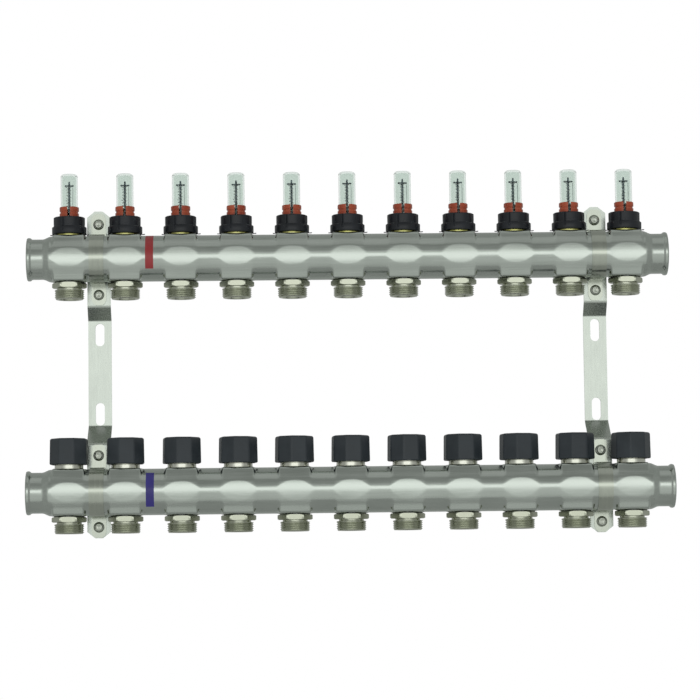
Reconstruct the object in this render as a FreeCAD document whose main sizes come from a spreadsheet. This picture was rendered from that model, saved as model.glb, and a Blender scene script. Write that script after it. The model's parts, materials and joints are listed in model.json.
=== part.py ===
import FreeCAD, Part
import math
import os
import Sketcher

# Underfloor heating manifold, eleven circuits, millimetres.
# Frame: +X runs along the bars, +Z is up and the viewer stands on the -Y side.
# Origin: on the wall plane, at the centre of the left bracket's pair of slots.
# Heights in the table are taken from the middle between the two bar axes.

Vec = FreeCAD.Vector
Rot = FreeCAD.Rotation
doc = FreeCAD.newDocument("underfloor_heating_manifold")

PORTS = 11
MIDDLE_PORT = 5

SIZES = {
    # Layout of the set
    "port_pitch": 50.0,
    "bar_spacing": 210.0,
    "bar_length": 575.0,
    "bracket_x": 225.0,
    "upper_offset": 10.0,
    "lower_offset": 24.0,
    # Bar tube
    "body_r": 20.6,
    "neck_r": 18.1,
    "rim_r": 19.5,
    "wall": 1.5,
    "rim_len": 3.5,
    "neck_end": 13.5,
    "shoulder_end": 21.5,
    "pad_z": 21.0,
    "zone_half": 14.6,
    "zone_relief": 0.15,
    "dent_r": 130.0,
    "dent_face": 19.6,
    "port_r": 10.5,
    "port_collar_r": 12.6,
    "port_depth": 9.0,
    # Outlet nipple, G3/4 outside with a hexagon
    "seal_len": 0.6,
    "nipple_hex": 27.0,
    "nipple_hex_len": 4.6,
    "nipple_neck_len": 1.9,
    "nipple_neck_r": 11.0,
    "nipple_thread_r": 13.22,
    "nipple_end": 36.4,
    "nipple_bore_r": 7.0,
    "nipple_cone_r": 9.4,
    "spigot_r": 10.4,
    # Flow meter
    "insert_flange_r": 11.5,
    "insert_flange_top": 22.2,
    "insert_neck_r": 9.22,
    "meter_top": 37.8,
    "socket_r": 7.7,
    "socket_depth": 4.0,
    "meter_chamber_r": 4.2,
    "meter_floor": 14.0,
    "insert_low": 10.0,
    "glass_r": 7.6,
    "glass_bore_r": 6.2,
    "glass_top": 76.8,
    "glass_roof": 1.6,
    "collar_bore_r": 9.3,
    "collar_skirt_r": 15.5,
    "collar_top_r": 14.05,
    "collar_step_z": 29.2,
    "collar_low": 21.6,
    "clip_r": 18.4,
    "clip_len": 0.9,
    "ring_bore_r": 7.75,
    "ring_r": 8.7,
    "ring_waist_r": 8.0,
    "ring_top": 47.0,
    "ring_gap": 2.6,
    "rod_r": 1.0,
    "rod_guide_r": 1.08,
    "rod_tip": 70.3,
    "disc_z": 66.4,
    "disc_r": 4.3,
    "baffle_r": 6.4,
    "baffle_z": 14.0,
    # Return valve
    "valve_low": 9.5,
    "valve_floor": 12.5,
    "valve_flange_r": 12.75,
    "valve_flange_top": 24.4,
    "valve_neck_r": 12.2,
    "head_thread_r": 14.95,
    "head_thread_low": 27.0,
    "head_thread_top": 38.0,
    "gland_r": 8.0,
    "gland_top": 40.6,
    "valve_chamber_r": 5.4,
    "valve_chamber_top": 31.0,
    "stem_r": 3.0,
    "stem_guide_r": 3.08,
    "pin_r": 2.0,
    "pin_guide_r": 2.08,
    "pin_top": 44.6,
    "pin_shoulder_r": 4.9,
    "pin_shoulder_low": 28.0,
    "pin_shoulder_top": 30.0,
    "valve_disc_r": 9.4,
    "valve_disc_low": 8.4,
    "valve_disc_len": 2.5,
    # Hand cap, octagonal
    "cap_low": 24.8,
    "cap_top": 48.0,
    "cap_across": 33.0,
    "cap_turned_r": 17.6,
    "cap_bore_r": 15.0,
    "cap_ceiling": 44.65,
    # Springs
    "meter_coil_r": 1.7,
    "meter_wire_r": 0.22,
    "meter_coil_pitch": 3.2,
    "valve_coil_r": 4.25,
    "valve_wire_r": 0.55,
    "valve_coil_pitch": 3.0,
    # Wall bracket and clamp
    "strip_w": 21.0,
    "strip_t": 2.0,
    "bend_r": 1.5,
    "flat_top": 53.0,
    "flat_low": -44.5,
    "upper_plate_low": 64.9,
    "upper_plate_top": 151.0,
    "lower_plate_top": -61.5,
    "lower_plate_low": -145.0,
    "tip_cut_w": 7.0,
    "tip_cut_len": 5.6,
    "slot_r": 4.1,
    "slot_len": 20.5,
    "upper_slot_z": 39.5,
    "lower_slot_z": -32.5,
    "seat_gap": 0.1,
    "strap_w": 13.0,
    "strap_t": 1.5,
    "ear_up": 43.5,
    "ear_down": 39.5,
    "ear_corner": 3.2,
    "hole_up": 33.7,
    "hole_down": 30.3,
    "screw_r": 2.45,
    "screw_hole_r": 2.5,
    "ear_hole_r": 2.7,
    "screw_head_r": 4.8,
    "screw_head_len": 3.2,
    "screw_reach": 5.0,
    "socket_across": 4.0,
    "socket_len": 1.7,
    # Coloured bands
    "label_w": 7.2,
    "label_x": -177.7,
    "label_lift": 0.05,
    "label_t": 0.15,
    "supply_label_up": 74.0,
    "supply_label_down": 32.0,
    "return_label_up": 52.0,
    "return_label_down": 41.0,
}

# Rest angle of each hand cap about its own stem, degrees.
CAP_TURN = [-4.0, 6.0, 9.0, 12.0, 14.0, 8.0, 11.0, 7.0, 12.0, 9.0, 15.0]

sheet = doc.addObject("Spreadsheet::Sheet", "Sizes")
for row, (alias, number) in enumerate(SIZES.items(), start=1):
    sheet.set("A%d" % row, alias)
    sheet.set("B%d" % row, str(number))
    sheet.setAlias("B%d" % row, alias)
doc.recompute()


class Size:
    """A number together with the expression that gives it."""

    def __init__(self, value, text):
        self.value = float(value)
        self.text = text

    def __add__(self, other):
        other = as_size(other)
        return Size(self.value + other.value, "(%s + %s)" % (self.text, other.text))

    def __radd__(self, other):
        return as_size(other) + self

    def __sub__(self, other):
        other = as_size(other)
        return Size(self.value - other.value, "(%s - %s)" % (self.text, other.text))

    def __rsub__(self, other):
        return as_size(other) - self

    def __mul__(self, other):
        other = as_size(other)
        return Size(self.value * other.value, "(%s * %s)" % (self.text, other.text))

    def __rmul__(self, other):
        return as_size(other) * self

    def __truediv__(self, other):
        other = as_size(other)
        return Size(self.value / other.value, "(%s / %s)" % (self.text, other.text))

    def __neg__(self):
        return Size(-self.value, "(0 - %s)" % self.text)


def as_size(number):
    if isinstance(number, Size):
        return number
    return Size(number, repr(float(number)))


def size(alias):
    return Size(SIZES[alias], "Sizes.%s" % alias)


def bind(obj, prop, value):
    """Set a property and tie it to the sheet."""
    value = as_size(value)
    if not prop.startswith("Placement"):
        setattr(obj, prop, value.value)
    obj.setExpression(prop, value.text)
    return obj


def place(obj, x=0, y=0, z=0, turn=None):
    """Place an object, with each coordinate tied to the sheet."""
    if turn is not None:
        obj.Placement = FreeCAD.Placement(Vec(), turn)
    for axis, value in (("x", x), ("y", y), ("z", z)):
        bind(obj, "Placement.Base.%s" % axis, value)
    return obj


def cylinder(name, radius, length, x=0, y=0, z=0, turn=None):
    obj = doc.addObject("Part::Cylinder", name)
    bind(obj, "Radius", radius)
    bind(obj, "Height", length)
    return place(obj, x, y, z, turn)


def box(name, wide, deep, tall, x, y, z):
    """A box centred on x, with its low corner at y and z."""
    obj = doc.addObject("Part::Box", name)
    bind(obj, "Length", wide)
    bind(obj, "Width", deep)
    bind(obj, "Height", tall)
    return place(obj, x - as_size(wide) / 2, y, z)


def prism(name, sides, across, length, z, turn=0.0):
    """A regular prism with a flat facing -Y at turn 0."""
    obj = doc.addObject("Part::Prism", name)
    obj.Polygon = sides
    bind(obj, "Circumradius", as_size(across) / (2 * math.cos(math.pi / sides)))
    bind(obj, "Height", length)
    return place(obj, 0, 0, z, Rot(Vec(0, 0, 1), turn + 90.0 + 180.0 / sides))


def fuse(name, shapes):
    obj = doc.addObject("Part::MultiFuse", name)
    obj.Shapes = shapes
    obj.Refine = True
    return obj


def cut(name, base, tool):
    obj = doc.addObject("Part::Cut", name)
    obj.Base = base
    obj.Tool = tool
    return obj


def common(name, shapes):
    obj = doc.addObject("Part::MultiCommon", name)
    obj.Shapes = shapes
    return obj


def profile(body, role, points):
    """A closed outline on one of the body's own origin planes."""
    sketch = body.newObject("Sketcher::SketchObject", body.Name + "_outline")
    plane = [item for item in body.Origin.OriginFeatures if item.Role == role][0]
    sketch.AttachmentSupport = [(plane, "")]
    sketch.MapMode = "FlatFace"
    points = [(as_size(u), as_size(v)) for u, v in points]
    count = len(points)
    for index, (u, v) in enumerate(points):
        nu, nv = points[(index + 1) % count]
        line = Part.LineSegment(Vec(u.value, v.value, 0), Vec(nu.value, nv.value, 0))
        sketch.addGeometry(line, False)
    for index in range(count):
        sketch.addConstraint(Sketcher.Constraint("Coincident", index, 2, (index + 1) % count, 1))
    for index, pair in enumerate(points):
        for kind, value in zip(("DistanceX", "DistanceY"), pair):
            rule = Sketcher.Constraint(kind, -1, 1, index, 1, value.value)
            number = sketch.addConstraint(rule)
            sketch.setExpression("Constraints[%d]" % number, value.text)
    return sketch


def turned(name, points, axis="V_Axis"):
    """A body turned from a half outline, about Z (V_Axis) or X (H_Axis)."""
    body = doc.addObject("PartDesign::Body", name)
    sketch = profile(body, "XZ_Plane", points)
    feature = body.newObject("PartDesign::Revolution", name + "_turn")
    feature.Profile = sketch
    feature.ReferenceAxis = (sketch, [axis])
    feature.Angle = 360.0
    return body


def padded(name, role, points, length):
    """A body pushed out both ways from an outline."""
    body = doc.addObject("PartDesign::Body", name)
    sketch = profile(body, role, points)
    feature = body.newObject("PartDesign::Pad", name + "_pad")
    feature.Profile = sketch
    bind(feature, "Length", length)
    feature.Midplane = True
    return body


NODES = []


def node(name, pattern, x=0, y=0, z=0, turn=None):
    """A sub-part: a body of its own that repeats a pattern shape at its place."""
    body = doc.addObject("PartDesign::Body", name)
    base = body.newObject("PartDesign::FeatureBase", name + "_base")
    base.BaseFeature = pattern
    place(body, x, y, z, turn)
    body.Label = name
    NODES.append(body)
    return body


def group_node(name, pattern, places):
    """A sub-part of equal, separate pieces."""
    links = []
    for number, (x, y, z) in enumerate(places, start=1):
        link = doc.addObject("App::Link", "%s_%02d" % (name, number))
        link.LinkedObject = pattern
        place(link, x, y, z)
        links.append(link)
    obj = doc.addObject("Part::Compound", name)
    obj.Links = links
    obj.Label = name
    NODES.append(obj)
    return obj


LIE_X = Rot(Vec(0, 1, 0), 90)
LIE_Y = Rot(Vec(1, 0, 0), -90)

# ---------------------------------------------------------------- positions
middle_x = size("bracket_x")
middle_z = -(size("upper_slot_z") + size("lower_slot_z")) / 2
half_spacing = size("bar_spacing") / 2
back_reach = size("strip_t") + size("body_r") + size("seat_gap")
supply_y = -(size("upper_offset") + back_reach)
return_y = -(size("lower_offset") + back_reach)
supply_z = middle_z + half_spacing
return_z = middle_z - half_spacing
port_x = [(number - MIDDLE_PORT) * size("port_pitch") for number in range(PORTS)]
supply_places = [(middle_x + x, supply_y, supply_z) for x in port_x]
return_places = [(middle_x + x, return_y, return_z) for x in port_x]

# ------------------------------------------------------------------- bars
half_length = size("bar_length") / 2
# Slant of the port zones' sides from the upright
ZONE_SLANT = math.radians(22.5)
SLANT_COS = math.cos(ZONE_SLANT)
SLANT_SIN = math.sin(ZONE_SLANT)

wall = size("wall")
pad_z = size("pad_z")
rim_blend = 0.8


def bar_outline(end, rim, neck, body, rim_at):
    """Half outline of the tube from one end to the other."""
    left = [
        (-end, 0),
        (-end, rim),
        (-half_length + rim_at, rim),
        (-half_length + rim_at + rim_blend, neck),
        (-half_length + size("neck_end"), neck),
        (-half_length + size("shoulder_end"), body),
    ]
    right = [(-u, v) for u, v in reversed(left)]
    return left + right


outside = turned(
    "bar_outside",
    bar_outline(half_length, size("rim_r"), size("neck_r"), size("body_r"), size("rim_len")),
    "H_Axis",
)
inner_neck = size("neck_r") - wall
inner_body = size("body_r") - wall
inside = turned(
    "bar_inside",
    [
        (-half_length - 1, 0),
        (-half_length - 1, inner_neck),
        (-half_length + size("neck_end"), inner_neck),
        (-half_length + size("shoulder_end"), inner_body),
        (half_length - size("shoulder_end"), inner_body),
        (half_length - size("neck_end"), inner_neck),
        (half_length + 1, inner_neck),
        (half_length + 1, 0),
    ],
    "H_Axis",
)


def dents(name, extra, depth):
    """Lens-shaped flats on the front and back of the tube at each port."""
    radius = size("dent_r") + extra
    centre_y = size("dent_face") + size("dent_r")
    pieces = []
    for side, word in ((-1, "front"), (1, "back")):
        for number, x in enumerate(port_x):
            label = "%s_%s_%d" % (name, word, number)
            disc = cylinder(label + "_round", radius, 40, x, side * centre_y, -20)
            low_y = -centre_y + radius - depth if side < 0 else centre_y - radius
            block = box(label + "_block", 44, depth, 30, x, low_y, -15)
            pieces.append(common(label, [disc, block]))
    tool = doc.addObject("Part::Compound", name)
    tool.Links = pieces
    return tool

def port_zones(name, radius, top, half_width):
    """Blocks around the ports: their slanted sides run into the round of the tube."""
    face = radius - size("zone_relief")
    foot_y = face * SLANT_COS
    foot_z = face * SLANT_SIN
    top_y = (face - top * SLANT_SIN) / SLANT_COS
    band = padded(
        name + "_band",
        "YZ_Plane",
        [
            (foot_y, foot_z),
            (top_y, top),
            (-top_y, top),
            (-foot_y, foot_z),
            (-foot_y, -foot_z),
            (-top_y, -top),
            (top_y, -top),
            (foot_y, -foot_z),
        ],
        half_length * 2,
    )
    blocks = doc.addObject("Part::Compound", name + "_blocks")
    blocks.Links = [
        box("%s_%d" % (name, number), half_width * 2, radius * 2, top * 2, x, -radius, -top)
        for number, x in enumerate(port_x)
    ]
    return common(name, [band, blocks])


outer_zones = port_zones("port_zone", size("body_r"), pad_z, size("zone_half"))
inner_zones = port_zones("port_room", inner_body, pad_z - wall, size("zone_half") - wall)
bar_outer = cut("bar_outer", fuse("bar_outer_raw", [outside, outer_zones]), dents("dent_out", 0, 4))
bar_inner = cut("bar_inner", fuse("bar_inner_raw", [inside, inner_zones]), dents("dent_in", wall, 6))
bar_shell = cut("bar_shell", bar_outer, bar_inner)
port_low = pad_z - size("port_depth")
thread_collars = []
port_holes = []
for number, x in enumerate(port_x):
    for word, low in (("top", port_low), ("bottom", -pad_z + 0.5)):
        tube = cylinder(
            "port_tube_%s_%d" % (word, number),
            size("port_collar_r"),
            size("port_depth") - 0.5,
            x,
            0,
            low,
        )
        thread_collars.append(tube)
    for word, low in (("top", port_low - 1), ("bottom", -pad_z - 1)):
        hole = cylinder(
            "port_hole_%s_%d" % (word, number),
            size("port_r"),
            size("port_depth") + 2,
            x,
            0,
            low,
        )
        port_holes.append(hole)
holes = doc.addObject("Part::Compound", "port_holes")
holes.Links = port_holes
bar_pattern = cut("bar_pattern", fuse("bar_with_ports", [bar_shell] + thread_collars), holes)

node("supply_bar", bar_pattern, middle_x, supply_y, supply_z)
node("return_bar", bar_pattern, middle_x, return_y, return_z)

# ---------------------------------------------------------------- nipples
hex_top = -(pad_z + size("seal_len"))
hex_low = hex_top - size("nipple_hex_len")
neck_low = hex_low - size("nipple_neck_len")
nipple_low = -size("nipple_end")
spigot_top = -port_low
hex_point = size("nipple_hex") / (2 * math.cos(math.pi / 6))
nipple_blank = turned(
    "nipple_blank",
    [
        (0, hex_top),
        (hex_point - 1.6, hex_top),
        (hex_point, hex_top - 0.9),
        (hex_point, hex_low + 0.9),
        (hex_point - 1.6, hex_low),
        (0, hex_low),
    ],
)
nipple_hexagon = common(
    "nipple_hexagon",
    [nipple_blank, prism("nipple_prism", 6, size("nipple_hex"), size("nipple_hex_len"), hex_low)],
)
nipple_stem = turned(
    "nipple_stem",
    [
        (0, spigot_top),
        (size("spigot_r"), spigot_top),
        (size("spigot_r"), hex_top - 1),
        (size("nipple_neck_r"), hex_top - 1),
        (size("nipple_neck_r"), neck_low),
        (size("nipple_thread_r") - 0.7, neck_low),
        (size("nipple_thread_r"), neck_low - 0.7),
        (size("nipple_thread_r"), nipple_low + 1.2),
        (size("nipple_thread_r") - 1.1, nipple_low),
        (0, nipple_low),
    ],
)
nipple_way = turned(
    "nipple_way",
    [
        (0, spigot_top + 1),
        (size("nipple_bore_r"), spigot_top + 1),
        (size("nipple_bore_r"), nipple_low + 4),
        (size("nipple_cone_r"), nipple_low - 0.01),
        (0, nipple_low - 0.01),
    ],
)
nipple_pattern = cut(
    "nipple_pattern", fuse("nipple_solid", [nipple_hexagon, nipple_stem]), nipple_way
)
seal_pattern = turned(
    "seal_pattern",
    [
        (size("spigot_r") + 0.2, -pad_z),
        (size("nipple_hex") / 2 - 0.1, -pad_z),
        (size("nipple_hex") / 2 - 0.1, hex_top),
        (size("spigot_r") + 0.2, hex_top),
    ],
)
group_node("outlet_nipples", nipple_pattern, supply_places + return_places)
group_node("nipple_seals", seal_pattern, supply_places + return_places)

# ------------------------------------------------------------ flow meters
socket_low = size("meter_top") - size("socket_depth")
meter_insert_pattern = turned(
    "meter_insert_pattern",
    [
        (size("rod_guide_r"), size("insert_low")),
        (size("spigot_r"), size("insert_low")),
        (size("spigot_r"), pad_z),
        (size("insert_flange_r"), pad_z),
        (size("insert_flange_r"), size("insert_flange_top")),
        (size("insert_neck_r"), size("insert_flange_top")),
        (size("insert_neck_r"), size("meter_top")),
        (size("socket_r"), size("meter_top")),
        (size("socket_r"), socket_low),
        (size("meter_chamber_r"), socket_low),
        (size("meter_chamber_r"), size("meter_floor")),
        (size("rod_guide_r"), size("meter_floor")),
    ],
)
glass_low = socket_low + 0.1
glass_pattern = turned(
    "glass_pattern",
    [
        (size("glass_bore_r"), glass_low),
        (size("glass_r"), glass_low),
        (size("glass_r"), size("glass_top") - 3.4),
        (size("glass_r") - 0.5, size("glass_top") - 1.7),
        (size("glass_r") - 1.7, size("glass_top") - 0.6),
        (size("glass_r") - 3.8, size("glass_top")),
        (0, size("glass_top")),
        (0, size("glass_top") - size("glass_roof")),
        (size("glass_bore_r") - 2.6, size("glass_top") - size("glass_roof")),
        (size("glass_bore_r") - 0.7, size("glass_top") - size("glass_roof") - 1),
        (size("glass_bore_r"), size("glass_top") - size("glass_roof") - 2.6),
    ],
)
ring_low = size("meter_top") + 0.1
ring_turned = turned(
    "ring_turned",
    [
        (size("ring_bore_r"), ring_low),
        (size("ring_r"), ring_low),
        (size("ring_r"), ring_low + 3.2),
        (size("ring_waist_r"), ring_low + 3.5),
        (size("ring_waist_r"), size("ring_top") - 4.0),
        (size("ring_r"), size("ring_top") - 3.7),
        (size("ring_r"), size("ring_top") - 0.5),
        (size("ring_r") - 0.4, size("ring_top")),
        (size("ring_bore_r"), size("ring_top")),
    ],
)
ring_opening = box(
    "ring_opening",
    size("ring_gap"),
    size("ring_r"),
    size("ring_top") - ring_low + 2,
    0,
    -size("ring_r") - 1,
    ring_low - 1,
)
ring_pattern = cut("ring_pattern", ring_turned, ring_opening)

collar_turned = turned(
    "collar_turned",
    [
        (size("insert_flange_r") + 0.2, size("collar_low")),
        (size("clip_r"), size("collar_low")),
        (size("clip_r"), size("collar_low") + size("clip_len")),
        (size("collar_skirt_r"), size("collar_low") + size("clip_len")),
        (size("collar_skirt_r"), size("collar_step_z") - 0.5),
        (size("collar_skirt_r") - 0.5, size("collar_step_z")),
        (size("collar_top_r"), size("collar_step_z")),
        (size("collar_top_r"), size("meter_top") - 0.6),
        (size("collar_top_r") - 0.6, size("meter_top")),
        (size("collar_bore_r"), size("meter_top")),
        (size("collar_bore_r"), size("insert_flange_top") + 0.2),
        (size("insert_flange_r") + 0.2, size("insert_flange_top") + 0.2),
    ],
)
GRIP_SLOTS = 12
grip_tools = []
for number in range(GRIP_SLOTS):
    angle = number * 360.0 / GRIP_SLOTS
    tool = doc.addObject("Part::Box", "grip_slot_%d" % number)
    bind(tool, "Length", 3.0)
    bind(tool, "Width", 1.4)
    bind(tool, "Height", size("meter_top") - size("collar_step_z"))
    reach = size("collar_top_r") - 0.7
    across = math.radians(angle)
    start = Rot(Vec(0, 0, 1), angle)
    tool.Placement = FreeCAD.Placement(Vec(), start)
    bind(tool, "Placement.Base.x", reach * math.cos(across) + 0.7 * math.sin(across))
    bind(tool, "Placement.Base.y", reach * math.sin(across) - 0.7 * math.cos(across))
    bind(tool, "Placement.Base.z", size("collar_step_z") + 1.2)
    grip_tools.append(tool)
grips = doc.addObject("Part::Compound", "collar_grips")
grips.Links = grip_tools
collar_pattern = cut("collar_pattern", collar_turned, grips)

indicator_pattern = turned(
    "indicator_pattern",
    [
        (0, -size("baffle_z")),
        (size("baffle_r"), -size("baffle_z")),
        (size("baffle_r"), -size("baffle_z") + 1.2),
        (size("rod_r"), -size("baffle_z") + 1.8),
        (size("rod_r"), size("disc_z") - 0.7),
        (size("disc_r"), size("disc_z") - 0.5),
        (size("disc_r"), size("disc_z") + 0.5),
        (size("rod_r"), size("disc_z") + 0.7),
        (size("rod_r"), size("rod_tip") - 0.6),
        (size("rod_r") - 0.5, size("rod_tip")),
        (0, size("rod_tip")),
    ],
)
group_node("meter_inserts", meter_insert_pattern, supply_places)
group_node("sight_glasses", glass_pattern, supply_places)
group_node("lock_rings", ring_pattern, supply_places)

# ----------------------------------------------------------- return valves
valve_insert_pattern = turned(
    "valve_insert_pattern",
    [
        (size("stem_guide_r"), size("valve_low")),
        (size("spigot_r"), size("valve_low")),
        (size("spigot_r"), pad_z),
        (size("valve_flange_r"), pad_z),
        (size("valve_flange_r"), size("valve_flange_top") - 0.4),
        (size("valve_flange_r") - 0.4, size("valve_flange_top")),
        (size("valve_neck_r"), size("valve_flange_top")),
        (size("valve_neck_r"), size("head_thread_low")),
        (size("head_thread_r") - 0.6, size("head_thread_low")),
        (size("head_thread_r"), size("head_thread_low") + 0.6),
        (size("head_thread_r"), size("head_thread_top") - 1),
        (size("head_thread_r") - 1, size("head_thread_top")),
        (size("gland_r"), size("head_thread_top")),
        (size("gland_r"), size("gland_top") - 0.5),
        (size("gland_r") - 0.5, size("gland_top")),
        (size("pin_guide_r"), size("gland_top")),
        (size("pin_guide_r"), size("valve_chamber_top")),
        (size("valve_chamber_r"), size("valve_chamber_top")),
        (size("valve_chamber_r"), size("valve_floor")),
        (size("stem_guide_r"), size("valve_floor")),
    ],
)
spindle_pattern = turned(
    "spindle_pattern",
    [
        (0, -size("valve_disc_low")),
        (size("valve_disc_r") - 0.4, -size("valve_disc_low")),
        (size("valve_disc_r"), -size("valve_disc_low") + 0.4),
        (size("valve_disc_r"), -size("valve_disc_low") + size("valve_disc_len")),
        (size("stem_r"), -size("valve_disc_low") + size("valve_disc_len")),
        (size("stem_r"), size("pin_shoulder_low")),
        (size("pin_shoulder_r"), size("pin_shoulder_low")),
        (size("pin_shoulder_r"), size("pin_shoulder_top")),
        (size("pin_r"), size("pin_shoulder_top")),
        (size("pin_r"), size("pin_top") - 0.3),
        (size("pin_r") - 0.3, size("pin_top")),
        (0, size("pin_top")),
    ],
)
cap_room = size("cap_turned_r")
cap_turned = turned(
    "cap_turned",
    [
        (0, size("cap_low")),
        (cap_room - 1.5, size("cap_low")),
        (cap_room, size("cap_low") + 1.2),
        (cap_room, size("cap_top") - 3),
        (cap_room - 0.7, size("cap_top") - 1.3),
        (cap_room - 2.4, size("cap_top")),
        (0, size("cap_top")),
    ],
)
cap_prism = prism("cap_prism", 8, size("cap_across"), size("cap_top") - size("cap_low"), size("cap_low"))
cap_room_tool = turned(
    "cap_room_tool",
    [
        (0, size("cap_low") - 1),
        (size("cap_bore_r"), size("cap_low") - 1),
        (size("cap_bore_r"), size("cap_ceiling") - 1.5),
        (size("cap_bore_r") - 1.5, size("cap_ceiling")),
        (0, size("cap_ceiling")),
    ],
)
cap_pattern = cut("cap_pattern", common("cap_solid", [cap_turned, cap_prism]), cap_room_tool)
group_node("valve_inserts", valve_insert_pattern, return_places)

# ----------------------------------------------------------------- springs


def spring(name, coil_r, wire_r, pitch, low, high):
    """A round-wire compression spring about Z, between two heights."""
    length = high - low - 2 * wire_r
    path = Part.makeHelix(pitch, length, coil_r)
    path.translate(Vec(0, 0, low + wire_r))
    ring = Part.Wire(Part.makeCircle(wire_r, Vec(coil_r, 0, low + wire_r), Vec(0, 1, 0)))
    shape = Part.Wire(path.Edges).makePipeShell([ring], True, True)
    obj = doc.addObject("Part::Feature", name)
    obj.Shape = shape
    return obj


meter_spring_pattern = spring(
    "meter_spring_pattern",
    SIZES["meter_coil_r"],
    SIZES["meter_wire_r"],
    SIZES["meter_coil_pitch"],
    SIZES["meter_floor"] + 0.1,
    SIZES["disc_z"] - 0.8,
)
valve_spring_pattern = spring(
    "valve_spring_pattern",
    SIZES["valve_coil_r"],
    SIZES["valve_wire_r"],
    SIZES["valve_coil_pitch"],
    SIZES["valve_floor"] + 0.1,
    SIZES["pin_shoulder_low"] - 0.1,
)
group_node("meter_springs", meter_spring_pattern, supply_places)
group_node("valve_springs", valve_spring_pattern, return_places)

# ----------------------------------------------------------- wall brackets
strip_t = size("strip_t")
upper_back = -size("upper_offset")
lower_back = -size("lower_offset")


def bend_shift(offset, rise):
    """How far a bend's far corner lies along the strip from its near one."""
    slope = as_size(offset) / as_size(rise)
    value = strip_t.value * math.tan(math.atan(slope.value) / 2)
    return Size(value, "(%s * tan(atan(%s) / 2))" % (strip_t.text, slope.text))


upper_shift = bend_shift(size("upper_offset"), size("upper_plate_low") - size("flat_top"))
lower_shift = bend_shift(size("lower_offset"), size("flat_low") - size("lower_plate_top"))
outer_bends = [
    (0, size("flat_top")),
    (upper_back - strip_t, size("upper_plate_low") - upper_shift),
    (0, size("flat_low")),
    (lower_back - strip_t, size("lower_plate_top") + lower_shift),
]
inner_bends = [
    (-strip_t, size("flat_top") - upper_shift),
    (upper_back, size("upper_plate_low")),
    (-strip_t, size("flat_low") + lower_shift),
    (lower_back, size("lower_plate_top")),
]
strip_body = padded(
    "strip_body",
    "YZ_Plane",
    [
        (upper_back, size("upper_plate_top")),
        inner_bends[1],
        outer_bends[0],
        outer_bends[2],
        inner_bends[3],
        (lower_back, size("lower_plate_low")),
        (lower_back - strip_t, size("lower_plate_low")),
        outer_bends[3],
        inner_bends[2],
        inner_bends[0],
        outer_bends[1],
        (upper_back - strip_t, size("upper_plate_top")),
    ],
    size("strip_w"),
)
doc.recompute()


def edges_at(shape, corners):
    """Names of the edges that run along X through the given (y, z) corners."""
    names = []
    for number, edge in enumerate(shape.Edges, start=1):
        ends = [vertex.Point for vertex in edge.Vertexes]
        if len(ends) != 2 or abs(ends[0].x - ends[1].x) < 1:
            continue
        for y, z in corners:
            if math.hypot(ends[0].y - as_size(y).value, ends[0].z - as_size(z).value) < 0.01:
                names.append("Edge%d" % number)
    return names


for word, corners, radius in (
    ("inner", inner_bends, size("bend_r")),
    ("outer", outer_bends, size("bend_r") + strip_t),
):
    tip = strip_body.Tip
    rounding = strip_body.newObject("PartDesign::Fillet", "strip_%s_bends" % word)
    rounding.Base = (tip, edges_at(tip.Shape, corners))
    bind(rounding, "Radius", radius)
    doc.recompute()

half_w = size("strip_w") / 2
tip_half = half_w - size("tip_cut_w")
strip_shape = padded(
    "strip_shape",
    "XZ_Plane",
    [
        (-tip_half, size("lower_plate_low")),
        (tip_half, size("lower_plate_low")),
        (half_w, size("lower_plate_low") + size("tip_cut_len")),
        (half_w, size("upper_plate_top") - size("tip_cut_len")),
        (tip_half, size("upper_plate_top")),
        (-tip_half, size("upper_plate_top")),
        (-half_w, size("upper_plate_top") - size("tip_cut_len")),
        (-half_w, size("lower_plate_low") + size("tip_cut_len")),
    ],
    100.0,
)
strip_tools = []
slot_straight = size("slot_len") - size("slot_r") * 2
for word, centre in (("upper", size("upper_slot_z")), ("lower", size("lower_slot_z"))):
    low = centre - slot_straight / 2
    strip_tools.append(box("slot_%s_mid" % word, size("slot_r") * 2, 10, slot_straight, 0, -6, low))
    for end, z in (("low", low), ("top", low + slot_straight)):
        name = "slot_%s_%s" % (word, end)
        strip_tools.append(cylinder(name, size("slot_r"), 10, 0, -6, z, LIE_Y))
for word, bar_z, y in (("supply", half_spacing, supply_y), ("return", -half_spacing, return_y)):
    for end, z in (("up", bar_z + size("hole_up")), ("down", bar_z - size("hole_down"))):
        name = "strip_hole_%s_%s" % (word, end)
        strip_tools.append(cylinder(name, size("screw_hole_r"), 10, 0, y + size("body_r") - 3, z, LIE_Y))
bracket_pattern = cut(
    "bracket_pattern",
    common("strip_trimmed", [strip_body, strip_shape]),
    fuse("strip_holes", strip_tools),
)
left_x = middle_x - size("bracket_x")
right_x = middle_x + size("bracket_x")
node("bracket_left", bracket_pattern, left_x, 0, middle_z)
node("bracket_right", bracket_pattern, right_x, 0, middle_z)

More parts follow.
